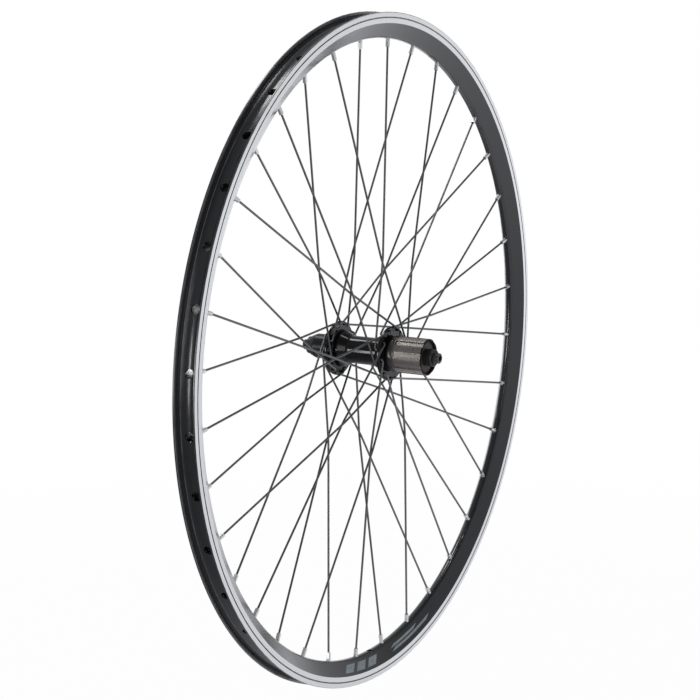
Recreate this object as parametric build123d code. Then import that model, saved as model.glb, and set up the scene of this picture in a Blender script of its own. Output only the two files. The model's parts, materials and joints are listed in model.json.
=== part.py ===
from build123d import *
import os
from math import acos, atan2, cos, degrees, hypot, pi, radians, sin, tan

# A rear bicycle wheel without its tyre, in millimetres.
# The origin is the wheel's centre, on the axle and in the rim's middle plane.
# +Y runs along the axle to the left side, so the drive side is at -Y. +Z is up and +X is forward.
# Angles about the axle are in degrees, from +Z towards +X, and the valve hole is at 180.

# Rim
bead_seat_diameter = 622.0
rim_flange_height = 6.0
rim_width = 22.35
rim_depth = 24.2
brake_track_height = 10.2
rim_edge_round = 0.6
wear_groove_inset = 5.0
wear_groove_width = 1.3
wear_groove_depth = 0.5
tyre_channel_width = 18.6
hook_height = 2.4
hook_undercut = 0.5
bead_shelf_width = 2.3
bead_shelf_drop = 0.3
well_depth = 2.6
well_width = 7.2
shelf_edge_round = 0.8
well_round_share = 0.85
rim_apex_width = 5.8
rim_apex_round = 4.6
rim_side_wall = 1.4
tyre_bed_wall = 1.5
nipple_seat_wall = 2.6
access_hole_diameter = 8.6
valve_hole_diameter = 6.5
valve_hole_angle = 180.0

# Spokes and nipples
spoke_count = 36
spoke_kinds = 4
cross_count = 4
spoke_diameter = 2.0
spoke_head_diameter = 3.6
spoke_head_height = 0.9
elbow_radius = 2.6
elbow_reach = 3.0
cross_bend_radius = 60.0
cross_gap = 0.2
nipple_diameter = 4.0
nipple_shank_length = 10.0
nipple_head_diameter = 5.8
nipple_head_height = 2.2
nipple_head_round = 0.7
nipple_flats_width = 3.3
nipple_flats_length = 6.0
nipple_slot_width = 1.1
nipple_slot_depth = 1.0
nipple_hole_clearance = 0.2
spot_face_depth = 0.5

# Hub shell
left_flange_offset = 35.1
right_flange_offset = 21.1
flange_diameter = 52.0
flange_thickness = 3.2
flange_round = 1.1
hole_circle_diameter = 46.0
spoke_hole_clearance = 0.25
barrel_diameter = 26.2
left_neck_length = 5.5
left_flare_length = 8.0
left_neck_wall = 3.3
left_boss_length = 5.3
left_boss_wall = 2.2
left_boss_round = 1.2
right_neck_wall = 4.6
right_neck_length = 2.0
right_flare_length = 5.5
right_boss_length = 1.3
flare_round = 5.0
neck_round = 1.5

# Axle and its bearings
axle_diameter = 10.0
skewer_bore_diameter = 5.2
axle_stub_length = 5.5
axle_stub_diameter = 9.6
axle_end_round = 0.5
ball_diameter = 6.35
ball_count = 9
ball_spacing_gap = 0.12
race_clearance = 0.05
cup_wall = 1.0
cup_floor = 1.2
cup_bore_clearance = 1.4
left_ball_inset = 1.1
cone_diameter = 16.4
cone_nose_length = 1.5
cone_flats_width = 15.0
cone_flats_length = 2.6
left_cone_stand_out = 5.0
right_cone_length = 5.5
left_spacer_length = 15.0
right_spacer_length = 1.5
spacer_diameter = 15.0
locknut_thickness = 5.5
locknut_diameter = 16.4
locknut_round = 0.5
dust_cap_thickness = 1.2
dust_cap_gap = 0.7
dust_cap_lip = 0.8
boot_diameter = 23.4
boot_wall = 1.4
boot_gap = 0.5
boot_taper_length = 5.0
boot_grip_length = 1.2

# Freehub
freehub_gap = 2.0
freehub_length = 35.5
freehub_wall = 2.4
freehub_collar_length = 6.0
freehub_end_chamfer = 0.8
freehub_mouth_chamfer = 1.0
ring_line_inset = 8.5
ring_line_depth = 0.3
ring_line_width = 0.6
spline_count = 9
spline_groove_width = 5.2
key_groove_width = 3.4
spline_depth = 1.1
small_ball_diameter = 3.175
small_ball_count = 25
inner_row_inset = 3.0
outer_row_inset = 13.7
right_ball_inset = 6.5
cup_shell_gap = 0.35
core_spigot_length = 3.0
core_shoulder_reach = 1.1
core_end_gap = 2.3
core_neck_wall = 1.3
cup_neck_length = 4.0
bolt_diameter = 15.0
bolt_bore_diameter = 11.2
bolt_head_wall = 1.5
bolt_head_height = 4.0
bolt_head_gap = 0.5
bolt_thread_length = 13.0
seal_thickness = 1.7
seal_wall = 4.2

# Ratchet
ratchet_tooth_count = 24
ratchet_tip_inset = 1.1
ratchet_tooth_height = 1.2
ratchet_width = 6.4
ratchet_start_gap = 0.5
ratchet_core_gap = 0.6
pawl_width = 5.0
pawl_heel_radius = 1.5
pawl_pivot_depth = 1.7
pawl_finger_length = 5.6
pawl_tip_thickness = 1.3
pawl_tip_gap = 0.2
pawl_tip_angle = 5.5
pawl_swing = 10.0
pawl_swing_margin = 3.0
pawl_count = 2
pawl_spring_wire = 0.8
pawl_spring_gap = 0.2

# Fits
press_gap = 0.02
running_gap = 0.05
hole_overrun = 1.0

# Rim radii
bead_seat_radius = bead_seat_diameter / 2
rim_radius = bead_seat_radius + rim_flange_height
track_radius = rim_radius - brake_track_height
apex_radius = rim_radius - rim_depth
well_radius = bead_seat_radius - well_depth
shelf_edge_radius = bead_seat_radius - bead_shelf_drop
chamber_floor = apex_radius + nipple_seat_wall
nipple_seat_radius = chamber_floor - spot_face_depth

# Spoke layout
hole_pitch = 360 / spoke_count
first_hole_angle = hole_pitch / 2
hub_lead = cross_count * 2 * hole_pitch
hub_hole_radius = hole_circle_diameter / 2
spoke_radius = spoke_diameter / 2
spoke_hole_radius = spoke_radius + spoke_hole_clearance

# Bearing radii
axle_radius = axle_diameter / 2
axle_fit_radius = axle_radius + press_gap
ball_radius = ball_diameter / 2
ball_pitch_radius = (ball_diameter + ball_spacing_gap) / (2 * sin(pi / ball_count))
race_radius = ball_radius + race_clearance
cup_inner_radius = ball_pitch_radius + race_radius
cup_radius = cup_inner_radius + cup_wall
cone_nose_radius = ball_pitch_radius - race_radius
cup_bore_radius = cone_nose_radius + cup_bore_clearance
small_ball_radius = small_ball_diameter / 2
small_pitch_radius = (small_ball_diameter + ball_spacing_gap) / (2 * sin(pi / small_ball_count))
small_race_radius = small_ball_radius + race_clearance
small_outer_radius = small_pitch_radius + small_race_radius
small_inner_radius = small_pitch_radius - small_race_radius
freehub_radius = small_outer_radius + freehub_wall
freehub_bore_radius = small_outer_radius + cup_shell_gap / 2
freehub_cup_radius = freehub_bore_radius - cup_shell_gap

# Places along the axle, left side
left_flange_outer = left_flange_offset + flange_thickness / 2
left_flange_inner = left_flange_offset - flange_thickness / 2
left_end = left_flange_outer + left_boss_length
left_ball_y = left_flange_offset - left_ball_inset
left_cup_seat = left_ball_y - race_radius - cup_floor
left_cup_end = left_ball_y + race_radius + dust_cap_thickness
left_cone_end = left_end + left_cone_stand_out
left_nut_start = left_cone_end + left_spacer_length
left_nut_end = left_nut_start + locknut_thickness

# Places along the axle, drive side
right_flange_inner = -right_flange_offset + flange_thickness / 2
right_flange_outer = -right_flange_offset - flange_thickness / 2
right_end = right_flange_outer - right_boss_length
freehub_start = right_end - freehub_gap
freehub_end = freehub_start - freehub_length
inner_row_y = freehub_start - inner_row_inset
outer_row_y = freehub_end + outer_row_inset
right_ball_y = freehub_end + right_ball_inset
right_cup_end = right_ball_y - race_radius - dust_cap_thickness
right_cone_end = right_ball_y - right_cone_length
right_nut_start = right_cone_end - right_spacer_length
right_nut_end = right_nut_start - locknut_thickness
ratchet_start = inner_row_y - small_race_radius - ratchet_start_gap
ratchet_end = ratchet_start - ratchet_width
ratchet_middle = (ratchet_start + ratchet_end) / 2
pawl_start = ratchet_middle + pawl_width / 2
pawl_end = ratchet_middle - pawl_width / 2
core_end = outer_row_y + core_end_gap
cup_neck_start = core_end + cup_neck_length
bolt_head_start = cup_neck_start + bolt_head_gap + bolt_head_height
bolt_end = right_end + core_spigot_length + bolt_thread_length

# Freehub radii
core_radius = small_inner_radius - press_gap
core_neck_radius = core_radius - core_neck_wall
bolt_radius = bolt_diameter / 2
bolt_bore_radius = bolt_bore_diameter / 2
bolt_head_radius = bolt_radius + bolt_head_wall
ratchet_tip_radius = small_outer_radius - ratchet_tip_inset
ratchet_root_radius = ratchet_tip_radius + ratchet_tooth_height
pawl_core_radius = ratchet_tip_radius - ratchet_core_gap


def polar(radius, angle, y=0.0):
    """The point at a radius and an angle about the axle."""
    turn = radians(angle)
    return Vector(radius * sin(turn), y, radius * cos(turn))


def turned(*corners):
    """A solid of revolution about the axle, from corners given as (radius, y) or (radius, y, rounding)."""
    points = [corner[:2] for corner in corners]
    rounds = [corner[2] if len(corner) > 2 else 0 for corner in corners]
    section = make_face(FilletPolyline(*points, radius=rounds, close=True))
    return revolve(section, Axis.Y)


def tube(outer, inner, y_start, y_end):
    """A plain ring about the axle."""
    return turned((inner, y_start), (outer, y_start), (outer, y_end), (inner, y_end))


def race(pitch_radius, groove_radius, y):
    """The torus that balls sweep with their clearance."""
    return Pos(0, y, 0) * Rot(90, 0, 0) * Torus(pitch_radius, groove_radius)


def ball_ring(count, pitch_radius, radius, y):
    """Separate balls, evenly spaced about the axle."""
    balls = [Pos(*polar(pitch_radius, 360 * n / count, y)) * Sphere(radius) for n in range(count)]
    return Compound(balls)


def prism(points, y_start, y_end):
    """A straight block along the axle, from (x, z) points, from y_start down to y_end."""
    face = make_face(Polyline(*points, close=True))
    return extrude(Plane.XZ.offset(-y_start) * face, amount=y_start - y_end)


def radial_hole(radius, angle, inner, outer):
    """A round cutter that points away from the axle in the rim's middle plane."""
    cutter = Cylinder(radius, outer - inner, align=(Align.CENTER, Align.CENTER, Align.MIN))
    return Rot(0, angle, 0) * Pos(0, 0, inner) * cutter


def wrench_flats(width, radius, y_start, y_end):
    """Two blocks that cut flats on the sides of a round piece."""
    depth = radius - width / 2 + hole_overrun
    middle = (width / 2 + depth / 2, (y_start + y_end) / 2, 0)
    block = Box(depth, abs(y_end - y_start), 2 * radius + 2 * hole_overrun)
    return [Pos(*middle) * block, Pos(-middle[0], middle[1], 0) * block]


class SpokeGroup:
    """One of the four kinds of spoke: its flange, the way it leans, and its points from hub to rim."""

    def __init__(self, side, lean, first_hole):
        self.side = side
        self.lean = lean
        self.rim_angle = first_hole_angle + first_hole * hole_pitch
        self.hub_angle = self.rim_angle + lean * hub_lead
        flange_y = left_flange_offset if side > 0 else -right_flange_offset
        # Spokes that lean forward lie outside the flange, with their heads inside it.
        face = side * lean
        self.head_face = flange_y - face * flange_thickness / 2
        self.elbow_y = flange_y + face * (flange_thickness / 2 + elbow_reach)
        self.head_direction = -face
        self.seat = polar(nipple_seat_radius, self.rim_angle)
        self.hub = polar(hub_hole_radius, self.hub_angle)
        self.cross = self.cross_point(flange_y)

    def cross_point(self, flange_y):
        """Where the spoke passes the last spoke it crosses, which lies on the other side of it."""
        run = self.seat - self.hub
        lever = abs(self.hub.X * run.Z - self.hub.Z * run.X) / run.length
        foot_angle = degrees(acos(lever / nipple_seat_radius))
        cross_radius = lever / cos(radians(foot_angle - hole_pitch))
        plan = polar(cross_radius, self.rim_angle + self.lean * hole_pitch)
        share = (self.seat - plan).length / run.length
        weave = self.side * self.lean * (spoke_radius + cross_gap / 2)
        return Vector(plan.X, flange_y * share - weave, plan.Z)

    def outward(self):
        """The direction of the spoke's outer run, away from the hub."""
        return (self.seat - self.cross).normalized()

    def spoke(self):
        start = Vector(self.hub.X, self.head_face, self.hub.Z)
        corner = Vector(self.hub.X, self.elbow_y, self.hub.Z)
        line = FilletPolyline(
            start, corner, self.cross, self.seat, radius=[elbow_radius, cross_bend_radius]
        )
        wire = sweep(Plane(line @ 0, z_dir=line % 0) * Circle(spoke_radius), path=line)
        return wire + self.head(start)

    def head(self, start):
        """The domed head, flat on the flange face and dished to a low edge."""
        radius = spoke_head_diameter / 2
        sphere_radius = (radius**2 + spoke_head_height**2) / (2 * spoke_head_height)
        middle = (sphere_radius * sin(pi / 8), sphere_radius * cos(pi / 8) - sphere_radius + spoke_head_height)
        dome = ThreePointArc((0, spoke_head_height), middle, (radius, 0))
        section = make_face([dome, Line((radius, 0), (0, 0)), Line((0, 0), (0, spoke_head_height))])
        cap = Rot(90, 0, 0) * revolve(section, Axis.Y)
        return Plane(start, z_dir=(0, self.head_direction, 0)) * cap

    def nipple_plane(self):
        return Plane(self.seat, z_dir=self.outward())

    def copies(self, piece):
        """The piece, repeated round the wheel, because every fourth rim hole holds the same kind of spoke."""
        return [Rot(0, spoke_kinds * hole_pitch * n, 0) * piece for n in range(spoke_count // spoke_kinds)]


drive_pushing = SpokeGroup(side=-1, lean=-1, first_hole=0)
left_pushing = SpokeGroup(side=1, lean=-1, first_hole=1)
drive_pulling = SpokeGroup(side=-1, lean=1, first_hole=2)
left_pulling = SpokeGroup(side=1, lean=1, first_hole=3)
spoke_groups = {
    "spokes_drive_pushing": drive_pushing,
    "spokes_left_pushing": left_pushing,
    "spokes_drive_pulling": drive_pulling,
    "spokes_left_pulling": left_pulling,
}


def rim_section():
    """The rim's outer outline, with its hooks, bead shelves and well."""
    half = rim_width / 2
    hook = tyre_channel_width / 2
    wall = hook + hook_undercut
    shelf = wall - bead_shelf_width
    well_run = shelf - well_width / 2
    well_rise = shelf_edge_radius - well_radius
    rounded_length = well_round_share * min(well_width / 2, hypot(well_run, well_rise))
    well_round = rounded_length / tan(atan2(well_rise, well_run) / 2)
    groove_top = rim_radius - wear_groove_inset + wear_groove_width / 2
    groove_bottom = groove_top - wear_groove_width
    side = [
        (apex_radius, rim_apex_width / 2, rim_apex_round),
        (track_radius, half, 0),
        (groove_bottom, half, 0),
        (groove_bottom, half - wear_groove_depth, 0),
        (groove_top, half - wear_groove_depth, 0),
        (groove_top, half, 0),
        (rim_radius, half, rim_edge_round),
        (rim_radius, hook, rim_edge_round),
        (rim_radius - hook_height, hook, rim_edge_round),
        (rim_radius - hook_height - hook_undercut, wall, 0),
        (bead_seat_radius, wall, 0),
        (shelf_edge_radius, shelf, shelf_edge_round),
        (well_radius, well_width / 2, well_round),
    ]
    other = [(radius, -y, rounding) for radius, y, rounding in reversed(side)]
    return side + other


def chamber_section():
    """The hollow between the tyre bed and the inner walls."""
    half = rim_width / 2
    slope = (half - rim_apex_width / 2) / (track_radius - apex_radius)
    wall = rim_side_wall * (1 + slope**2) ** 0.5
    shelf = tyre_channel_width / 2 + hook_undercut - bead_shelf_width
    bed_slope = (shelf - well_width / 2) / (shelf_edge_radius - well_radius)
    bed_shift = tyre_bed_wall * ((1 + bed_slope**2) ** 0.5 - bed_slope)
    floor_half = rim_apex_width / 2 + slope * nipple_seat_wall - wall
    side = [
        (chamber_floor, floor_half),
        (track_radius, half - wall),
        (shelf_edge_radius - tyre_bed_wall, half - wall),
        (shelf_edge_radius - tyre_bed_wall, shelf + bed_shift),
        (well_radius - tyre_bed_wall, well_width / 2 + bed_shift),
    ]
    other = [(radius, -y) for radius, y in reversed(side)]
    return side + other


def nipple_cutters(group):
    """The tilted hole and spot face under one nipple, in line with its spoke."""
    hole_radius = nipple_diameter / 2 + nipple_hole_clearance
    face_radius = nipple_head_diameter / 2 + nipple_hole_clearance
    reach = nipple_seat_wall + 2 * hole_overrun
    down = (Align.CENTER, Align.CENTER, Align.MAX)
    up = (Align.CENTER, Align.CENTER, Align.MIN)
    hole = Cylinder(hole_radius, reach, align=down)
    spot = Cylinder(face_radius, spot_face_depth + nipple_head_height, align=up)
    return [group.nipple_plane() * hole, group.nipple_plane() * spot]


def make_rim():
    cutters = []
    for group in spoke_groups.values():
        for cutter in nipple_cutters(group):
            cutters += group.copies(cutter)
    bed_low = well_radius - tyre_bed_wall - hole_overrun
    bed_high = bead_seat_radius + hole_overrun
    for n in range(spoke_count):
        angle = first_hole_angle + n * hole_pitch
        cutters.append(radial_hole(access_hole_diameter / 2, angle, bed_low, bed_high))
    valve_low = apex_radius - hole_overrun
    cutters.append(radial_hole(valve_hole_diameter / 2, valve_hole_angle, valve_low, bed_high))
    return turned(*rim_section()) - turned(*chamber_section()) - cutters


def make_nipple():
    """One nipple, with its seat at the origin and its head towards +Z."""
    head_radius = nipple_head_diameter / 2
    down = (Align.CENTER, Align.CENTER, Align.MAX)
    up = (Align.CENTER, Align.CENTER, Align.MIN)
    head = Cylinder(head_radius, nipple_head_height, align=up)
    head = fillet(head.edges().group_by(Axis.Z)[-1], nipple_head_round)
    shank = Cylinder(nipple_diameter / 2, nipple_shank_length, align=down)
    square = Box(nipple_flats_width, nipple_flats_width, nipple_flats_length, align=up)
    around = Box(2 * nipple_diameter, 2 * nipple_diameter, nipple_flats_length, align=up)
    flats = Pos(0, 0, -nipple_shank_length) * (around - square)
    length = nipple_shank_length + nipple_head_height
    bore = Pos(0, 0, -nipple_shank_length) * Cylinder(spoke_radius + press_gap, length, align=up)
    slot = Box(nipple_head_diameter, nipple_slot_width, nipple_slot_depth, align=down)
    return head + shank - flats - bore - Pos(0, 0, nipple_head_height) * slot


def make_nipples():
    nipple = make_nipple()
    placed = []
    for group in spoke_groups.values():
        placed += group.copies(group.nipple_plane() * nipple)
    return Compound(placed)


def flange_holes():
    """The spoke holes of both flanges."""
    cutters = []
    for group in spoke_groups.values():
        flange_y = left_flange_offset if group.side > 0 else -right_flange_offset
        hole = Rot(90, 0, 0) * Cylinder(spoke_hole_radius, flange_thickness + 2 * hole_overrun)
        cutters += group.copies(Pos(group.hub.X, flange_y, group.hub.Z) * hole)
    return cutters


def make_hub_shell():
    flange_radius = flange_diameter / 2
    barrel_radius = barrel_diameter / 2
    cup_bore = cup_radius + press_gap
    left_boss = cup_radius + left_boss_wall
    left_neck = cup_radius + left_neck_wall
    right_neck = core_radius + right_neck_wall
    left_neck_end = left_flange_inner - left_neck_length
    right_neck_end = right_flange_inner + right_neck_length
    spigot_radius = core_radius + press_gap
    spigot_seat = right_end + core_spigot_length
    bolt_fit = bolt_radius + press_gap
    blank = turned(
        (cup_bore, left_end),
        (left_boss, left_end, left_boss_round),
        (left_boss, left_flange_outer, flange_round),
        (flange_radius, left_flange_outer, flange_round),
        (flange_radius, left_flange_inner, flange_round),
        (left_neck, left_flange_inner, neck_round),
        (left_neck, left_neck_end, neck_round),
        (barrel_radius, left_neck_end - left_flare_length, flare_round),
        (barrel_radius, right_neck_end + right_flare_length, flare_round),
        (right_neck, right_neck_end),
        (right_neck, right_flange_inner),
        (flange_radius, right_flange_inner, flange_round),
        (flange_radius, right_flange_outer, flange_round),
        (right_neck, right_flange_outer),
        (right_neck, right_end),
        (spigot_radius, right_end),
        (spigot_radius, spigot_seat),
        (bolt_fit, spigot_seat),
        (bolt_fit, bolt_end),
        (cup_bore_radius, bolt_end),
        (cup_bore_radius, left_cup_seat),
        (cup_bore, left_cup_seat),
    )
    return blank - flange_holes()


def make_axle():
    """The hollow axle, with a plain stub past each locknut for the frame's dropouts."""
    bore = skewer_bore_diameter / 2
    stub = axle_stub_diameter / 2
    left_tip = left_nut_end + axle_stub_length
    right_tip = right_nut_end - axle_stub_length
    return turned(
        (bore, right_tip),
        (stub, right_tip, axle_end_round),
        (stub, right_nut_end),
        (axle_radius, right_nut_end),
        (axle_radius, left_nut_end),
        (stub, left_nut_end),
        (stub, left_tip, axle_end_round),
        (bore, left_tip),
    )


def make_cone(ball_y, end_y, side):
    """A cone with its race towards the wheel's middle and flats at its outer end."""
    nose_y = ball_y - side * cone_nose_length
    cone_radius = cone_diameter / 2
    blank = turned(
        (axle_fit_radius, nose_y),
        (cone_nose_radius, nose_y),
        (cone_nose_radius, ball_y),
        (cone_radius, ball_y),
        (cone_radius, end_y),
        (axle_fit_radius, end_y),
    )
    groove = race(ball_pitch_radius, race_radius, ball_y)
    flats = wrench_flats(cone_flats_width, cone_radius, end_y - side * cone_flats_length, end_y)
    return blank - groove - flats


def make_locknut(start_y, end_y):
    radius = locknut_diameter / 2
    return turned(
        (axle_fit_radius, start_y),
        (radius, start_y, locknut_round),
        (radius, end_y, locknut_round),
        (axle_fit_radius, end_y),
    )


def make_left_cup():
    blank = turned(
        (cup_bore_radius, left_cup_seat),
        (cup_radius, left_cup_seat),
        (cup_radius, left_cup_end),
        (cup_inner_radius, left_cup_end),
        (cup_inner_radius, left_ball_y),
        (cup_bore_radius, left_ball_y),
    )
    return blank - race(ball_pitch_radius, race_radius, left_ball_y)


def make_left_dust_cap():
    hole = cone_diameter / 2 + dust_cap_gap
    skirt = cup_radius - dust_cap_thickness
    face = left_end + dust_cap_lip
    return turned(
        (cup_radius, left_cup_end),
        (cup_radius, left_end),
        (cup_radius + dust_cap_lip, left_end),
        (cup_radius + dust_cap_lip, face),
        (hole, face),
        (hole, face - dust_cap_thickness),
        (skirt, face - dust_cap_thickness),
        (skirt, left_cup_end),
    )


def make_right_dust_cap():
    hole = cone_diameter / 2 + dust_cap_gap
    rim = cup_inner_radius - press_gap
    return tube(rim, hole, right_cup_end + dust_cap_thickness - running_gap, right_cup_end)


def make_left_boot():
    """A soft sleeve that grips the locknut and covers the cone."""
    radius = boot_diameter / 2
    grip = locknut_diameter / 2 + press_gap
    start = left_end + dust_cap_lip + boot_gap
    tip = left_nut_start + boot_grip_length
    taper = tip - boot_taper_length
    return turned(
        (radius - boot_wall, start),
        (radius, start),
        (radius, taper, boot_wall),
        (grip + boot_wall, tip),
        (grip, tip),
        (grip, left_nut_start),
        (radius - boot_wall, taper - boot_wall),
    )


def make_freehub_core():
    spigot_seat = right_end + core_spigot_length
    bolt_fit = bolt_radius + press_gap
    pocket = bolt_head_radius + running_gap
    neck_fit = core_neck_radius + press_gap
    shoulder = small_inner_radius + core_shoulder_reach
    shoulder_start = freehub_start - running_gap
    blank = turned(
        (bolt_fit, spigot_seat),
        (core_radius, spigot_seat),
        (core_radius, shoulder_start),
        (shoulder, shoulder_start),
        (shoulder, inner_row_y),
        (core_radius, inner_row_y),
        (core_radius, ratchet_start),
        (pawl_core_radius, ratchet_start),
        (pawl_core_radius, ratchet_end),
        (core_radius, ratchet_end),
        (core_radius, core_end),
        (neck_fit, core_end),
        (neck_fit, cup_neck_start),
        (pocket, cup_neck_start),
        (pocket, bolt_head_start),
        (bolt_fit, bolt_head_start),
    )
    spring_inner = pawl_spring_radius() - pawl_spring_wire / 2 - pawl_spring_gap
    half_groove = pawl_spring_wire / 2 + pawl_spring_gap
    groove_radius = pawl_core_radius + hole_overrun
    groove = tube(groove_radius, spring_inner, ratchet_middle - half_groove, ratchet_middle + half_groove)
    pockets = [pawl_turn(n) * pawl_pocket() for n in range(pawl_count)]
    return blank - race(small_pitch_radius, small_race_radius, inner_row_y) - groove - pockets


def make_freehub_bolt():
    """The hollow bolt that holds the freehub core on the hub shell."""
    head_end = bolt_head_start - bolt_head_height
    return turned(
        (bolt_bore_radius, bolt_end),
        (bolt_radius, bolt_end),
        (bolt_radius, bolt_head_start),
        (bolt_head_radius, bolt_head_start),
        (bolt_head_radius, head_end),
        (bolt_bore_radius, head_end),
    )


def make_freehub_cup():
    """The end piece in the core: a cone for the small balls outside, a cup for the axle's balls inside."""
    blank = turned(
        (cup_bore_radius, cup_neck_start),
        (core_neck_radius, cup_neck_start),
        (core_neck_radius, core_end),
        (small_inner_radius, core_end),
        (small_inner_radius, outer_row_y),
        (freehub_cup_radius, outer_row_y),
        (freehub_cup_radius, right_cup_end),
        (cup_inner_radius, right_cup_end),
        (cup_inner_radius, right_ball_y),
        (cup_bore_radius, right_ball_y),
    )
    outside = race(small_pitch_radius, small_race_radius, outer_row_y)
    return blank - outside - race(ball_pitch_radius, race_radius, right_ball_y)


def make_freehub_seal():
    return tube(core_radius + seal_wall, core_radius + press_gap, right_end, right_end - seal_thickness)


def make_freehub_shell():
    collar_end = freehub_start - freehub_collar_length
    line_y = freehub_end + ring_line_inset
    line_radius = freehub_radius - ring_line_depth
    bevel = freehub_radius - freehub_end_chamfer
    mouth = freehub_bore_radius + freehub_mouth_chamfer
    blank = turned(
        (small_outer_radius, freehub_start),
        (freehub_radius, freehub_start),
        (freehub_radius, line_y + ring_line_width),
        (line_radius, line_y + ring_line_width),
        (line_radius, line_y),
        (freehub_radius, line_y),
        (freehub_radius, freehub_end + freehub_end_chamfer),
        (bevel, freehub_end),
        (mouth, freehub_end),
        (freehub_bore_radius, freehub_end + freehub_mouth_chamfer),
        (freehub_bore_radius, outer_row_y),
        (ratchet_tip_radius, outer_row_y),
        (ratchet_tip_radius, inner_row_y),
        (small_outer_radius, inner_row_y),
    )
    blank -= race(small_pitch_radius, small_race_radius, inner_row_y)
    blank -= race(small_pitch_radius, small_race_radius, outer_row_y)
    return blank - ratchet_cutter() - spline_cutters(collar_end)


def spline_cutters(collar_end):
    """The grooves between the splines, one of them narrower so that sprockets go on one way."""
    cutters = []
    length = collar_end - freehub_end + hole_overrun
    depth = spline_depth + hole_overrun
    for n in range(spline_count):
        width = key_groove_width if n == 0 else spline_groove_width
        groove = Box(width, length, depth, align=(Align.CENTER, Align.MAX, Align.MIN))
        place = Pos(0, collar_end, freehub_radius - spline_depth)
        cutters.append(Rot(0, 360 * n / spline_count, 0) * place * groove)
    return cutters


def ratchet_cutter():
    """The saw teeth inside the shell: each has a steep face and a long ramp."""
    pitch = 360 / ratchet_tooth_count
    points = []
    for n in range(ratchet_tooth_count):
        root = polar(ratchet_root_radius, n * pitch)
        tip = polar(ratchet_tip_radius, (n + 1) * pitch)
        points += [(root.X, root.Z), (tip.X, tip.Z)]
    return prism(points, ratchet_start, ratchet_end)


def pawl_pivot():
    """The middle of the first pawl's round heel, in the (x, z) plane."""
    radius = pawl_core_radius - pawl_pivot_depth
    tip_radius = ramp_radius(pawl_tip_angle) - pawl_tip_gap
    reach = pawl_finger_length
    spread = degrees(acos((radius**2 + tip_radius**2 - reach**2) / (2 * radius * tip_radius)))
    return polar(radius, pawl_tip_angle + spread)


def ramp_radius(angle):
    """The radius of a ratchet ramp at an angle past its root."""
    root = polar(ratchet_root_radius, 0)
    tip = polar(ratchet_tip_radius, 360 / ratchet_tooth_count)
    lean = tan(radians(angle))
    share = root.Z * lean / (tip.X + (root.Z - tip.Z) * lean)
    return (root + (tip - root) * share).length


def pawl_axes():
    """The first pawl's pivot, the direction of its finger and the direction away from the axle."""
    pivot = pawl_pivot()
    tip = polar(ramp_radius(pawl_tip_angle) - pawl_tip_gap, pawl_tip_angle)
    along = (tip - pivot).normalized()
    return pivot, along, Vector(-along.Z, 0, along.X) * -1


def pawl_points(local_points):
    """Points along and across the finger, as (x, z) points of the wheel."""
    pivot, along, across = pawl_axes()
    points = [pivot + along * u + across * v for u, v in local_points]
    return [(point.X, point.Z) for point in points]


def pawl_turn(n):
    return Rot(0, 360 * n / pawl_count, 0)


def heel(radius, y_start, y_end):
    pivot = pawl_pivot()
    length = y_start - y_end
    return Pos(pivot.X, (y_start + y_end) / 2, pivot.Z) * Rot(90, 0, 0) * Cylinder(radius, length)


def pawl_pocket():
    """The socket for the heel and the recess that the finger folds into."""
    fold = radians(pawl_swing + pawl_swing_margin)
    socket = pawl_heel_radius + running_gap
    far = pawl_finger_length + hole_overrun
    low = -pawl_tip_thickness
    floor = (far * cos(fold) + low * sin(fold), low * cos(fold) - far * sin(fold))
    top = pawl_pivot_depth + pawl_finger_length
    recess = pawl_points([(0, top), (0, -socket), floor, (far, top)])
    block = prism(recess, pawl_start + running_gap, pawl_end - running_gap)
    return block + heel(socket, pawl_start + running_gap, pawl_end - running_gap)


def pawl_spring_radius():
    """The ring spring's middle line lies just inside the core's pawl band."""
    return pawl_core_radius - pawl_spring_wire / 2 - pawl_spring_gap


def folded(piece):
    """The first pawl, swung in from the ratchet to where the teeth push it as the wheel coasts."""
    pivot = pawl_pivot()
    return Pos(pivot.X, 0, pivot.Z) * Rot(0, -pawl_swing, 0) * Pos(-pivot.X, 0, -pivot.Z) * piece


def make_pawl(n):
    """A folded pawl: a round heel in the core and a finger, notched to clear the ring spring both ways."""
    outline = [
        (0, pawl_heel_radius),
        (pawl_finger_length, 0),
        (pawl_finger_length, -pawl_tip_thickness),
        (0, -pawl_heel_radius),
    ]
    finger = prism(pawl_points(outline), pawl_start, pawl_end)
    notch_inner = pawl_spring_radius() - pawl_spring_wire / 2 - pawl_spring_gap
    half_notch = pawl_spring_wire / 2 + pawl_spring_gap
    notch_outer = ratchet_root_radius + hole_overrun
    notch = tube(notch_outer, notch_inner, ratchet_middle - half_notch, ratchet_middle + half_notch)
    pawl = finger + heel(pawl_heel_radius, pawl_start, pawl_end) - notch
    return pawl_turn(n) * (folded(pawl) - notch)


def make_pawl_spring():
    ring = Torus(pawl_spring_radius(), pawl_spring_wire / 2)
    return Pos(0, ratchet_middle, 0) * Rot(90, 0, 0) * ring


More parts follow.
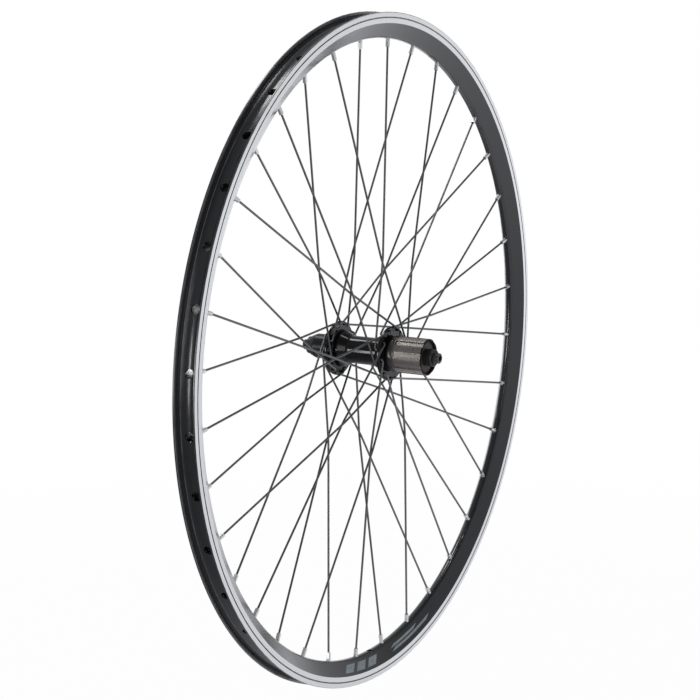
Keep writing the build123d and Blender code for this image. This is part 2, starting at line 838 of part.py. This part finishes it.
nodes = {
    "rim": make_rim(),
    "nipples": make_nipples(),
    "hub_shell": make_hub_shell(),
    "axle": make_axle(),
    "left_cup": make_left_cup(),
    "left_dust_cap": make_left_dust_cap(),
    "left_balls": ball_ring(ball_count, ball_pitch_radius, ball_radius, left_ball_y),
    "left_cone": make_cone(left_ball_y, left_cone_end, side=1),
    "left_spacer": tube(spacer_diameter / 2, axle_fit_radius, left_cone_end, left_nut_start),
    "left_locknut": make_locknut(left_nut_start, left_nut_end),
    "left_boot": make_left_boot(),
    "right_balls": ball_ring(ball_count, ball_pitch_radius, ball_radius, right_ball_y),
    "right_cone": make_cone(right_ball_y, right_cone_end, side=-1),
    "right_spacer": tube(spacer_diameter / 2, axle_fit_radius, right_cone_end, right_nut_start),
    "right_locknut": make_locknut(right_nut_start, right_nut_end),
    "right_dust_cap": make_right_dust_cap(),
    "freehub_core": make_freehub_core(),
    "freehub_bolt": make_freehub_bolt(),
    "freehub_cup": make_freehub_cup(),
    "freehub_seal": make_freehub_seal(),
    "freehub_shell": make_freehub_shell(),
    "freehub_inner_balls": ball_ring(small_ball_count, small_pitch_radius, small_ball_radius, inner_row_y),
    "freehub_outer_balls": ball_ring(small_ball_count, small_pitch_radius, small_ball_radius, outer_row_y),
    "pawl_spring": make_pawl_spring(),
}
for name, group in spoke_groups.items():
    nodes[name] = Compound(group.copies(group.spoke()))
for n in range(pawl_count):
    nodes[f"pawl_{n + 1}"] = make_pawl(n)

os.makedirs("parts", exist_ok=True)
for name, shape in nodes.items():
    export_step(shape, f"parts/{name}.step")
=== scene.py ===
import json
from math import cos, hypot, pi, radians, sin

import bpy
from mathutils import Matrix, Vector


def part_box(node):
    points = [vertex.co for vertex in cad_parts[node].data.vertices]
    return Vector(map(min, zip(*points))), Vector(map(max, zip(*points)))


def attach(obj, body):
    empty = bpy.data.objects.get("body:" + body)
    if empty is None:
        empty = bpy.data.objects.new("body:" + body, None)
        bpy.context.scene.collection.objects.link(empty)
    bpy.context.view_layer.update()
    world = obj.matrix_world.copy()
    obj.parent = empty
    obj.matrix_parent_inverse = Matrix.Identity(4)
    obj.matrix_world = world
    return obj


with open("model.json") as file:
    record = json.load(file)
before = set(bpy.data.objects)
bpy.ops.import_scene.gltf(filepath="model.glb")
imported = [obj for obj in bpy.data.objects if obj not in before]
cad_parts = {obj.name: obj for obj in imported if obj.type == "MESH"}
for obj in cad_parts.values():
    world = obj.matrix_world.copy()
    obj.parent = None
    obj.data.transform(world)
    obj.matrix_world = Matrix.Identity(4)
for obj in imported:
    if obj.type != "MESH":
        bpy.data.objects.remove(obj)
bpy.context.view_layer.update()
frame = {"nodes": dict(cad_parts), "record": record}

# A rear bicycle wheel without its tyre. The axle lies along Y, the drive side is at -Y, and +Z is up.
# Angles about the axle run from +Z towards +X. Sizes are in metres, unless a name or comment says otherwise.

mm = 0.001

# Places read from the frame
rim_low, rim_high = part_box("rim")
rim_radius = rim_high.z
rim_half_width = rim_high.y
freehub_low, freehub_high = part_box("freehub_shell")
freehub_radius = freehub_high.x
right_nut_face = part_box("right_locknut")[0].y
left_nut_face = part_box("left_locknut")[1].y
axle_low, axle_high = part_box("axle")

# Rim section
track_height = 10.2 * mm
rim_depth = 24.2 * mm
apex_half_width = 2.9 * mm
apex_wall = 1.6 * mm
side_wall = 1.4 * mm
well_depth = 8.6 * mm
hook_half_width = 9.3 * mm
hook_root = 11.0 * mm
hook_height = 2.4 * mm
shelf_edge_half_width = 7.4 * mm
shelf_edge_depth = 6.25 * mm
track_radius = rim_radius - track_height
apex_radius = rim_radius - rim_depth
well_radius = rim_radius - well_depth
side_slope = (rim_half_width - apex_half_width) / (track_radius - apex_radius)

# Borders of the rim's finishes: how deep each reaches into the metal, and how far the painted highlight lines
# spread from an edge
track_skin = 0.12 * mm
side_skin = 0.6 * side_wall
well_skin = 0.6 * mm
bed_skin = 0.3 * mm
highlight_reach = 0.6 * mm
highlight_level_reach = 0.5 * mm

# Borders of the freehub's finishes and painted shade: the collar from the drum's inner end, the mouth from
# its outer end, and the bore from its greatest radius
collar_start = 6.6 * mm
collar_full = 5.4 * mm
mouth_full = 0.7 * mm
mouth_end = 1.1 * mm
drum_skin = 1.4 * mm

# The span that most values of a noise texture lie in
noise_low = 0.3
noise_high = 0.7

# Plain bars on the rim's sides: angles in degrees, then shares of the side's width from track to apex
label_bars = (
    (191.5, 188.6, 0.2, 0.7),
    (187.4, 184.5, 0.2, 0.7),
    (183.3, 180.4, 0.2, 0.7),
    (174.0, 160.5, 0.28, 0.42),
    (174.0, 165.0, 0.5, 0.64),
)
label_slant = 1.6
label_step = 0.5
label_lift = 0.01 * mm
label_thickness = 0.04 * mm

# Serrations on the locknuts' outer faces
serration_count = 40
serration_inner = 5.4 * mm
serration_outer = 7.7 * mm
serration_height = 0.3 * mm
serration_root = 0.1 * mm

# Screw thread on the axle's ends: a ridge that is sunk a little into the steel and tapers at both ends
axle_end_radius = 4.8 * mm
thread_pitch = 1.0 * mm
thread_half_width = 0.4 * mm
thread_height = 0.2 * mm
thread_root = 0.1 * mm
thread_nut_gap = 0.4 * mm
thread_tip_gap = 1.1 * mm
thread_steps = 40
thread_taper_steps = 12

# Camera
photo_pixels = 700
camera_azimuth = radians(-60.148)
camera_elevation = radians(9.989)
camera_roll = radians(0.437)
camera_distance = 2.2152
camera_shift_right = -20.14 * mm
camera_shift_up = 1.04 * mm
camera_focal_pixels = 2350.6
sensor_width_mm = 36.0
camera_back = Vector((
    sin(camera_azimuth) * cos(camera_elevation),
    -cos(camera_azimuth) * cos(camera_elevation),
    sin(camera_elevation),
))
camera_level = Vector((cos(camera_azimuth), sin(camera_azimuth), 0))
beyond = Vector((-sin(camera_azimuth), cos(camera_azimuth), 0))

# Floor: how far it reaches from the wheel, away from the camera, towards it and to each side
floor_beyond = 6.0
floor_before = 2.0
floor_side = 4.0
floor_gap = 0.2 * mm

# The floor's brightness as a share of white: what the camera sees by the wheel, what the wheel mirrors from
# before and under it, what is added far beyond it, and the share of these that stays at the left
floor_seen = 0.98
floor_mirrored_before = 0.55
floor_mirrored_under = 0.73
floor_mirrored_added = 0.25
floor_mirrored_left = 0.3

# Where the floor's brightness changes: by distance from the wheel's centre, in depth and from left to right
floor_seen_span = (0.5, 1.3)
floor_before_span = (-0.5, 0.1)
floor_beyond_span = (0.5, 1.5)
floor_left_span = (-0.25, 0.05)

# The studio's brightness as a share of white, in its light and in what the wheel mirrors
backdrop_low = 0.95
backdrop_high = 0.45
backdrop_drive_side = 0.52
camera_side = 0.22
camera_side_high = 0.09
flank_low = 0.55
flank_high = 0.36

# Directions in which the lamps are long
along_axle = (0, 1, 0)
upward = (0, 0, 1)


class Shader:
    """A material's or the world's nodes, with one short call for each node that is added."""

    def __init__(self, tree):
        self.tree = tree
        self.tree.nodes.clear()

    def add(self, kind, *values, **settings):
        """Adds a node. A value is a number, a colour, a vector or another node's output, in socket order.
        The setting named inputs gives values by the socket's name or number instead."""
        named = settings.pop("inputs", {})
        node = self.tree.nodes.new("ShaderNode" + kind)
        for name, value in settings.items():
            setattr(node, name, value)
        for key, value in list(enumerate(values)) + list(named.items()):
            if value is None:
                continue
            if isinstance(value, bpy.types.NodeSocket):
                self.tree.links.new(value, node.inputs[key])
            else:
                node.inputs[key].default_value = value
        return node

    def math(self, operation, first, second=None, third=None):
        return self.add("Math", first, second, third, operation=operation).outputs[0]

    def over(self, value, limit):
        """1 where the value is greater than the limit, and 0 elsewhere."""
        return self.math("GREATER_THAN", value, limit)

    def under(self, value, limit):
        """1 where the value is less than the limit, and 0 elsewhere."""
        return self.math("LESS_THAN", value, limit)

    def both(self, first, second):
        """The product of two values: of two masks, where both are 1."""
        return self.math("MULTIPLY", first, second)

    def either(self, first, second):
        """The greater of two values: of two masks, where either is 1."""
        return self.math("MAXIMUM", first, second)

    def steps(self, value, low, high, out_low=0.0, out_high=1.0):
        """The value, stretched so that low to high becomes out_low to out_high, with soft ends."""
        node = self.add("MapRange", value, low, high, out_low, out_high, interpolation_type="SMOOTHSTEP")
        return node.outputs[0]

    def spread(self, noise, out_low, out_high):
        """A noise, stretched so that its usual span becomes out_low to out_high."""
        return self.steps(noise, noise_low, noise_high, out_low, out_high)

    def near(self, value, middle, reach):
        """1 where the value is at the middle, falling softly to 0 at this distance from it."""
        gap = self.math("ABSOLUTE", self.math("SUBTRACT", value, middle))
        return self.steps(gap, 0.0, reach, 1.0, 0.0)

    def mix(self, factor, first, second):
        """A blend of two colours."""
        node = self.add("Mix", data_type="RGBA", inputs={0: factor, 6: first, 7: second})
        return node.outputs[2]

    def blend(self, factor, first, second):
        """A blend of two numbers."""
        return self.add("Mix", inputs={0: factor, 2: first, 3: second}).outputs[0]

    def length(self, vector):
        return self.add("VectorMath", vector, operation="LENGTH").outputs["Value"]

    def dot(self, vector, direction):
        """How far the vector reaches in this direction."""
        return self.add("VectorMath", vector, tuple(direction), operation="DOT_PRODUCT").outputs["Value"]

    def point(self):
        """The place on the object, measured from the wheel's centre."""
        return self.add("TexCoord").outputs["Object"]

    def wheel_place(self):
        """The place on the wheel: the point, its place along the axle and its radius about the axle."""
        point = self.point()
        x, y, z = self.add("SeparateXYZ", point).outputs
        flat = self.add("CombineXYZ", x, 0.0, z).outputs[0]
        return point, y, self.length(flat)

    def noise(self, vector, scale, detail=2.0):
        return self.add("TexNoise", inputs={"Vector": vector, "Scale": scale, "Detail": detail}).outputs[0]

    def rings(self, y, radius, scale, detail=2.0):
        """A noise that runs in rings about the axle, as on a turned or ground surface."""
        section = self.add("CombineXYZ", radius, y, 0.0).outputs[0]
        return self.noise(section, scale, detail)

    def surface(self, shader):
        output = "World" if isinstance(self.tree.id_data, bpy.types.World) else "Material"
        self.add("Output" + output, shader)

    def principled(self, colour, metallic, roughness, bump=None, bump_height=0.0, **sockets):
        """The main shader, with an optional bump map and values for other sockets, with _ for a space."""
        values = {"Base Color": colour, "Metallic": metallic, "Roughness": roughness}
        if bump is not None:
            normal = self.add("Bump", inputs={"Height": bump, "Distance": bump_height})
            values["Normal"] = normal.outputs[0]
        for name, value in sockets.items():
            values[name.replace("_", " ")] = value
        self.surface(self.add("BsdfPrincipled", inputs=values).outputs[0])


def material(name):
    made = bpy.data.materials.new(name)
    made.use_nodes = True
    return made, Shader(made.node_tree)


def rgb(red, green, blue):
    return (red, green, blue, 1.0)


def bare_rim(nodes, radius, side):
    """1 on the rim's machined brake tracks and in its closed chamber."""
    track = nodes.both(nodes.over(radius, track_radius), nodes.over(side, rim_half_width - track_skin))
    over_apex = nodes.over(radius, apex_radius + apex_wall)
    under_bed = nodes.under(radius, well_radius - well_skin)
    slant = nodes.math("MULTIPLY_ADD", radius, -side_slope, side)
    within_sides = nodes.under(slant, apex_half_width - side_slope * apex_radius - side_skin)
    chamber = nodes.both(nodes.both(over_apex, under_bed), within_sides)
    return nodes.either(track, chamber)


def painted_edge_highlight(nodes, point, radius, side):
    """How far the painted highlight lines of pale bare metal reach on the lips of the hooks and the inner
    edges of the tyre bed's shelves.
    """
    lip = nodes.near(side, hook_half_width, highlight_reach)
    lip = nodes.both(lip, nodes.over(radius, rim_radius - hook_height))
    edge = nodes.near(side, shelf_edge_half_width, highlight_reach)
    edge = nodes.both(edge, nodes.near(radius, rim_radius - shelf_edge_depth, highlight_level_reach))
    patches = nodes.steps(nodes.noise(point, 35.0, 3.0), 0.3, 0.6, 0.2, 0.65)
    return nodes.both(nodes.either(lip, edge), patches)


def rim_material():
    """Black anodising, with painted highlight lines of pale metal at edges, paler on the bed's shelves, with
    bare tracks and chamber.
    """
    made, nodes = material("rim_anodised")
    point, y, radius = nodes.wheel_place()
    side = nodes.math("ABSOLUTE", y)
    metal = bare_rim(nodes, radius, side)
    # Painted highlight lines along the hook lips and shelf edges
    painted_highlight = painted_edge_highlight(nodes, point, radius, side)
    in_bed = nodes.both(nodes.over(radius, well_radius - bed_skin), nodes.under(side, hook_root))
    shelf = nodes.both(in_bed, nodes.over(side, shelf_edge_half_width))
    lines = nodes.rings(y, radius, 9000.0, 3.0)
    cloud = nodes.noise(point, 60.0, 4.0)
    black = nodes.mix(cloud, rgb(0.013, 0.0142, 0.0195), rgb(0.0205, 0.0218, 0.0285))
    black = nodes.mix(shelf, black, rgb(0.045, 0.046, 0.053))
    # The pale metal on the hook lips and shelf edges is a painted highlight
    black = nodes.mix(painted_highlight, black, rgb(0.6, 0.605, 0.62))
    bright = nodes.mix(lines, rgb(0.88, 0.885, 0.895), rgb(0.97, 0.975, 0.98))
    colour = nodes.mix(metal, black, bright)
    black_gloss = nodes.math("MULTIPLY_ADD", in_bed, 0.07, nodes.spread(cloud, 0.14, 0.2))
    bright_gloss = nodes.spread(lines, 0.2, 0.34)
    gloss = nodes.blend(painted_highlight, nodes.blend(metal, black_gloss, bright_gloss), 0.5)
    shine = nodes.either(metal, painted_highlight)
    grooves = nodes.both(lines, metal)
    coat = nodes.math("SUBTRACT", 1.0, metal)
    nodes.principled(colour, shine, gloss, grooves, 0.0015 * mm, Coat_Weight=coat, Coat_Roughness=black_gloss)
    return made


def steel_material(name, dark, light, roughness, line_scale):
    """Turned steel: fine rings about the axle and a slight cloudiness."""
    made, nodes = material(name)
    point, y, radius = nodes.wheel_place()
    lines = nodes.rings(y, radius, line_scale)
    blend = nodes.blend(0.6, lines, nodes.noise(point, 140.0, 4.0))
    nodes.principled(nodes.mix(blend, dark, light), 1.0, nodes.spread(blend, *roughness), lines, 0.002 * mm)
    return made


def spoke_material():
    """Drawn stainless wire, with faint patches of duller skin."""
    made, nodes = material("spoke_steel")
    cloud = nodes.noise(nodes.point(), 220.0, 4.0)
    colour = nodes.mix(cloud, rgb(0.15, 0.152, 0.157), rgb(0.25, 0.252, 0.257))
    nodes.principled(colour, 1.0, nodes.spread(cloud, 0.24, 0.4))
    return made


def nipple_material():
    """Bright nickel plate over brass."""
    made, nodes = material("nipple_plate")
    cloud = nodes.noise(nodes.point(), 900.0, 3.0)
    colour = nodes.mix(cloud, rgb(0.78, 0.78, 0.78), rgb(0.92, 0.92, 0.925))
    nodes.principled(colour, 1.0, nodes.spread(cloud, 0.25, 0.42), cloud, 0.004 * mm)
    return made


def hub_material():
    """Gloss black anodising over turned aluminium."""
    made, nodes = material("hub_gloss")
    point, y, radius = nodes.wheel_place()
    lines = nodes.rings(y, radius, 5000.0)
    cloud = nodes.noise(point, 120.0, 3.0)
    colour = nodes.mix(cloud, rgb(0.005, 0.005, 0.0065), rgb(0.009, 0.009, 0.011))
    nodes.principled(colour, 0.0, nodes.spread(cloud, 0.11, 0.17), lines, 0.0006 * mm)
    return made


def freehub_material():
    """Brownish hardened steel, ground along the drum; painted shade darkens the browner collar, the mouth and
    bore.
    """
    made, nodes = material("freehub_steel")
    point, y, radius = nodes.wheel_place()
    stretched = nodes.add("VectorMath", point, (1800.0, 50.0, 1800.0), operation="MULTIPLY").outputs[0]
    lines = nodes.noise(stretched, 1.0, 3.0)
    cloud = nodes.noise(point, 160.0, 4.0)
    grey = nodes.mix(lines, rgb(0.3, 0.277, 0.256), rgb(0.5, 0.468, 0.44))
    brown_and_painted_shade = nodes.mix(cloud, rgb(0.2, 0.185, 0.175), rgb(0.34, 0.318, 0.303))
    painted_shade = nodes.mix(cloud, rgb(0.027, 0.024, 0.024), rgb(0.05, 0.045, 0.044))
    collar = nodes.steps(y, freehub_high.y - collar_start, freehub_high.y - collar_full)
    bore = nodes.under(radius, freehub_radius - drum_skin)
    mouth = nodes.steps(y, freehub_low.y + mouth_full, freehub_low.y + mouth_end, 1.0, 0.0)
    # Mouth and bore take a painted shade; the collar's browner tone is also darker as painted shade from the
    # flange
    colour = nodes.mix(nodes.either(bore, mouth), nodes.mix(collar, grey, brown_and_painted_shade), painted_shade)
    gloss = nodes.blend(mouth, nodes.spread(lines, 0.34, 0.48), 0.7)
    nodes.principled(colour, 1.0, gloss, lines, 0.0004 * mm)
    return made


def rubber_material():
    """Black moulded rubber with a fine grain."""
    made, nodes = material("boot_rubber")
    point = nodes.point()
    grain = nodes.noise(point, 2600.0, 3.0)
    cloud = nodes.noise(point, 150.0, 3.0)
    colour = nodes.mix(cloud, rgb(0.011, 0.0115, 0.017), rgb(0.02, 0.021, 0.029))
    nodes.principled(colour, 0.0, nodes.spread(cloud, 0.26, 0.36), grain, 0.004 * mm)
    return made


def label_material():
    """Pale grey-blue film, slightly worn."""
    made, nodes = material("label_film")
    cloud = nodes.noise(nodes.point(), 500.0, 5.0)
    colour = nodes.mix(nodes.steps(cloud, 0.3, 0.6), rgb(0.38, 0.46, 0.5), rgb(0.56, 0.64, 0.68))
    nodes.principled(colour, 0.0, nodes.spread(cloud, 0.3, 0.45))
    return made


def dress_nodes():
    """Gives every solid of the frame its finish."""
    finishes = {
        "rim": rim_material(),
        "nipple": nipple_material(),
        "spoke": spoke_material(),
        "hub": hub_material(),
        "axle_steel": steel_material(
            "axle_steel", rgb(0.09, 0.086, 0.083), rgb(0.16, 0.154, 0.149),
            roughness=(0.42, 0.58), line_scale=7000.0),
        "bearing_steel": steel_material(
            "bearing_steel", rgb(0.5, 0.5, 0.5), rgb(0.66, 0.66, 0.66),
            roughness=(0.08, 0.2), line_scale=4000.0),
        "freehub_steel": freehub_material(),
        "cap_steel": steel_material(
            "cap_steel", rgb(0.085, 0.076, 0.074), rgb(0.14, 0.127, 0.123),
            roughness=(0.5, 0.65), line_scale=6000.0),
        "rubber": rubber_material(),
    }
    finish_of = {part["node"]: part["material_slot"] for part in frame["record"]["subparts"]}
    # The cup shows only in the freehub's mouth, under its painted shade.
    finish_of["freehub_cup"] = "freehub_steel"
    for name, node in frame["nodes"].items():
        node.material_slots[0].material = finishes[finish_of[name]]
    return finishes


def add_bars(name, bars, finish, body):
    """A mesh of closed bars that rides on a body of the wheel. A bar is a list of rings of points."""
    vertices, faces = [], []
    for rings in bars:
        size = len(rings[0])
        first = len(vertices)
        last = first + size * (len(rings) - 1)
        vertices += [point for ring in rings for point in ring]
        for start in range(first, last, size):
            for a in range(size):
                b = (a + 1) % size
                faces.append((start + a, start + size + a, start + size + b, start + b))
        faces.append(tuple(range(first, first + size)))
        faces.append(tuple(reversed(range(last, last + size))))
    mesh = bpy.data.meshes.new(name)
    mesh.from_pydata(vertices, [], faces)
    mesh.validate()
    mesh.materials.append(finish)
    piece = bpy.data.objects.new(name, mesh)
    bpy.context.scene.collection.objects.link(piece)
    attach(piece, body)


def about_axle(radius, angle, y):
    """A point at this radius and angle about the axle."""
    return (radius * sin(angle), y, radius * cos(angle))


def side_point(angle, share, lift, hand):
    """A point over the rim's sloping side, at a share of the way from the brake track to the apex."""
    length = hypot(1, side_slope)
    radius = track_radius - share * (track_radius - apex_radius) - lift * side_slope / length
    y = rim_half_width - share * (rim_half_width - apex_half_width) + lift / length
    return about_axle(radius, radians(angle), hand * y)


def add_label(name, hand, finish):
    """Slanted bars of thin film on one side of the rim."""
    top = label_lift + label_thickness
    bars = []
    for start, end, low, high in label_bars:
        corners = (
            (low, 0.0, label_lift),
            (low, 0.0, top),
            (high, label_slant, top),
            (high, label_slant, label_lift),
        )
        count = round((start - end) / label_step)
        rings = []
        for n in range(count + 1):
            angle = start - (start - end) * n / count
            rings.append([side_point(angle - lean, share, lift, hand) for share, lean, lift in corners])
        bars.append(rings)
    add_bars(name, bars, finish, "wheel")


def add_serrations(name, face_y, hand, finish):
    """Radial ridges on a locknut's outer face, which bite into the bicycle's frame."""
    half = pi / serration_count
    profile = ((-half, -serration_root), (0.0, serration_height), (half, -serration_root))
    bars = []
    for n in range(serration_count):
        middle = 2 * half * n
        bars.append([
            [about_axle(radius, middle + turn, face_y + hand * height) for turn, height in profile]
            for radius in (serration_inner, serration_outer)
        ])
    add_bars(name, bars, finish, "axle_set")


def add_thread(name, low_y, high_y, finish):
    """The right-hand thread on one end of the axle."""
    count = round((high_y - low_y) / thread_pitch * thread_steps)
    rings = []
    for n in range(count + 1):
        angle = 2 * pi * n / thread_steps
        y = low_y + (high_y - low_y) * n / count
        taper = min(1.0, (n + 1) / thread_taper_steps, (count + 1 - n) / thread_taper_steps)
        crest = (thread_height + thread_root) * taper - thread_root
        profile = ((-thread_half_width, -thread_root), (0.0, crest), (thread_half_width, -thread_root))
        rings.append([about_axle(axle_end_radius + height, angle, y + across) for across, height in profile])
    add_bars(name, [rings], finish, "axle_set")


def place_camera():
    """The camera, at the photograph's viewing angle."""
    upright = camera_back.cross(camera_level)
    right = camera_level * cos(camera_roll) + upright * sin(camera_roll)
    up = upright * cos(camera_roll) - camera_level * sin(camera_roll)
    eye = camera_back * camera_distance + camera_level * camera_shift_right + upright * camera_shift_up
    lens = bpy.data.cameras.new("camera")
    lens.sensor_width = sensor_width_mm
    lens.lens = camera_focal_pixels / photo_pixels * sensor_width_mm
    camera = bpy.data.objects.new("camera", lens)
    turn = Matrix((right, up, camera_back)).transposed().to_4x4()
    camera.matrix_world = Matrix.Translation(eye) @ turn
    bpy.context.scene.collection.objects.link(camera)
    bpy.context.scene.camera = camera


def floor_material():
    """White to the camera with a faint shadow, dimmer where the wheel mirrors it, and otherwise matt."""
    pale, nodes = material("floor_pale")
    path = nodes.add("LightPath").outputs
    mirrored = path["Is Glossy Ray"]
    spot = nodes.point()
    depth = nodes.dot(spot, beyond)
    across = nodes.dot(spot, camera_level)
    plain = nodes.steps(nodes.length(spot), *floor_seen_span, floor_seen, 1.0)
    seen = nodes.both(path["Is Camera Ray"], plain)
    nearer = nodes.steps(depth, *floor_before_span, floor_mirrored_before, floor_mirrored_under)
    farther = nodes.steps(depth, *floor_beyond_span, 0.0, floor_mirrored_added)
    rightward = nodes.steps(across, *floor_left_span, floor_mirrored_left, 1.0)
    gleam = nodes.math("MULTIPLY", rightward, nodes.math("ADD", nearer, farther))
    matt = nodes.add("BsdfDiffuse", rgb(0.9, 0.9, 0.9)).outputs[0]
    tint = nodes.mix(mirrored, rgb(1, 1, 1), rgb(0.95, 0.96, 1.0))
    white = nodes.add("Emission", tint, nodes.blend(mirrored, 1.0, gleam)).outputs[0]
    nodes.surface(nodes.add("MixShader", nodes.either(seen, mirrored), matt, white).outputs[0])
    return pale


def make_floor():
    """A plain pale floor just under the wheel, square to the camera."""
    height = Vector((0, 0, rim_low.z - floor_gap))
    near, far = -beyond * floor_before, beyond * floor_beyond
    left, right = -camera_level * floor_side, camera_level * floor_side
    corners = [near + left + height, near + right + height, far + right + height, far + left + height]
    mesh = bpy.data.meshes.new("floor")
    mesh.from_pydata(corners, [], [(0, 1, 2, 3)])
    mesh.materials.append(floor_material())
    floor = bpy.data.objects.new("floor", mesh)
    bpy.context.scene.collection.objects.link(floor)


def light_world():
    """A studio that the camera sees as white. Its light is brightest low down beyond the wheel, dimmer higher
    up, and dim on the camera's side, apart from a paler flank straight out from the drive side."""
    world = bpy.data.worlds.new("studio")
    bpy.context.scene.world = world
    world.use_nodes = True
    nodes = Shader(world.node_tree)
    way = nodes.add("TexCoord").outputs["Generated"]
    y, height = nodes.add("SeparateXYZ", way).outputs[1:]
    drive_side = nodes.math("MULTIPLY", y, -1.0)
    dimmed = nodes.steps(height, 0.0, 0.1, 1.0, backdrop_drive_side)
    dimmed = nodes.blend(nodes.steps(y, 0.1, 0.4), dimmed, 1.0)
    backdrop = nodes.math("MULTIPLY", nodes.steps(height, 0.0, 0.5, backdrop_low, backdrop_high), dimmed)
    high_up = nodes.both(nodes.steps(height, 0.35, 0.7), nodes.steps(drive_side, 0.0, 0.4))
    dim = nodes.blend(high_up, camera_side, camera_side_high)
    flank = nodes.steps(height, 0.0, 0.4, flank_low, flank_high)
    near_side = nodes.blend(nodes.steps(drive_side, 0.55, 0.9), dim, flank)
    strength = nodes.blend(nodes.steps(nodes.dot(way, beyond), 0.1, 0.7), near_side, backdrop)
    camera_ray = nodes.add("LightPath").outputs["Is Camera Ray"]
    shown = nodes.either(strength, camera_ray)
    colour = nodes.mix(camera_ray, rgb(0.96, 0.975, 1.0), rgb(1, 1, 1))
    nodes.surface(nodes.add("Background", colour, shown).outputs[0])


def area_lamp(name, way, along, distance, width, length, radiance):
    """A soft strip lamp aimed at the wheel's centre, long in one direction, as bright as this radiance."""
    light = bpy.data.lights.new(name, "AREA")
    light.shape = "RECTANGLE"
    light.size = width
    light.size_y = length
    light.energy = pi * radiance * width * length
    lamp = bpy.data.objects.new(name, light)
    back = Vector(way).normalized()
    up = (Vector(along) - back * back.dot(Vector(along))).normalized()
    turn = Matrix((up.cross(back), up, back)).transposed().to_4x4()
    lamp.matrix_world = Matrix.Translation(back * distance) @ turn
    lamp.visible_camera = False
    bpy.context.scene.collection.objects.link(lamp)


finishes = dress_nodes()
film = label_material()
steel = finishes["axle_steel"]
add_label("label_drive_side", -1, film)
add_label("label_left_side", 1, film)
add_serrations("right_nut_serrations", right_nut_face, -1, steel)
add_serrations("left_nut_serrations", left_nut_face, 1, steel)
add_thread("right_axle_thread", axle_low.y + thread_tip_gap, right_nut_face - thread_nut_gap, steel)
add_thread("left_axle_thread", left_nut_face + thread_nut_gap, axle_high.y - thread_tip_gap, steel)
place_camera()
make_floor()
light_world()
area_lamp("overhead_lamp", (0.12, 0.5, 0.86), along_axle, distance=2.2, width=0.5, length=0.6, radiance=6.0)
area_lamp("small_lamp", (0.08, -0.2, 0.98), along_axle, distance=2.2, width=0.3, length=0.4, radiance=5.0)
area_lamp("left_lamp", (-0.87, 0.46, -0.06), upward, distance=2.1, width=0.22, length=0.85, radiance=8.0)
area_lamp("front_lamp", (-0.91, -0.33, 0.18), upward, distance=2.2, width=0.16, length=1.3, radiance=3.0)
bpy.context.scene.view_settings.view_transform = "Standard"
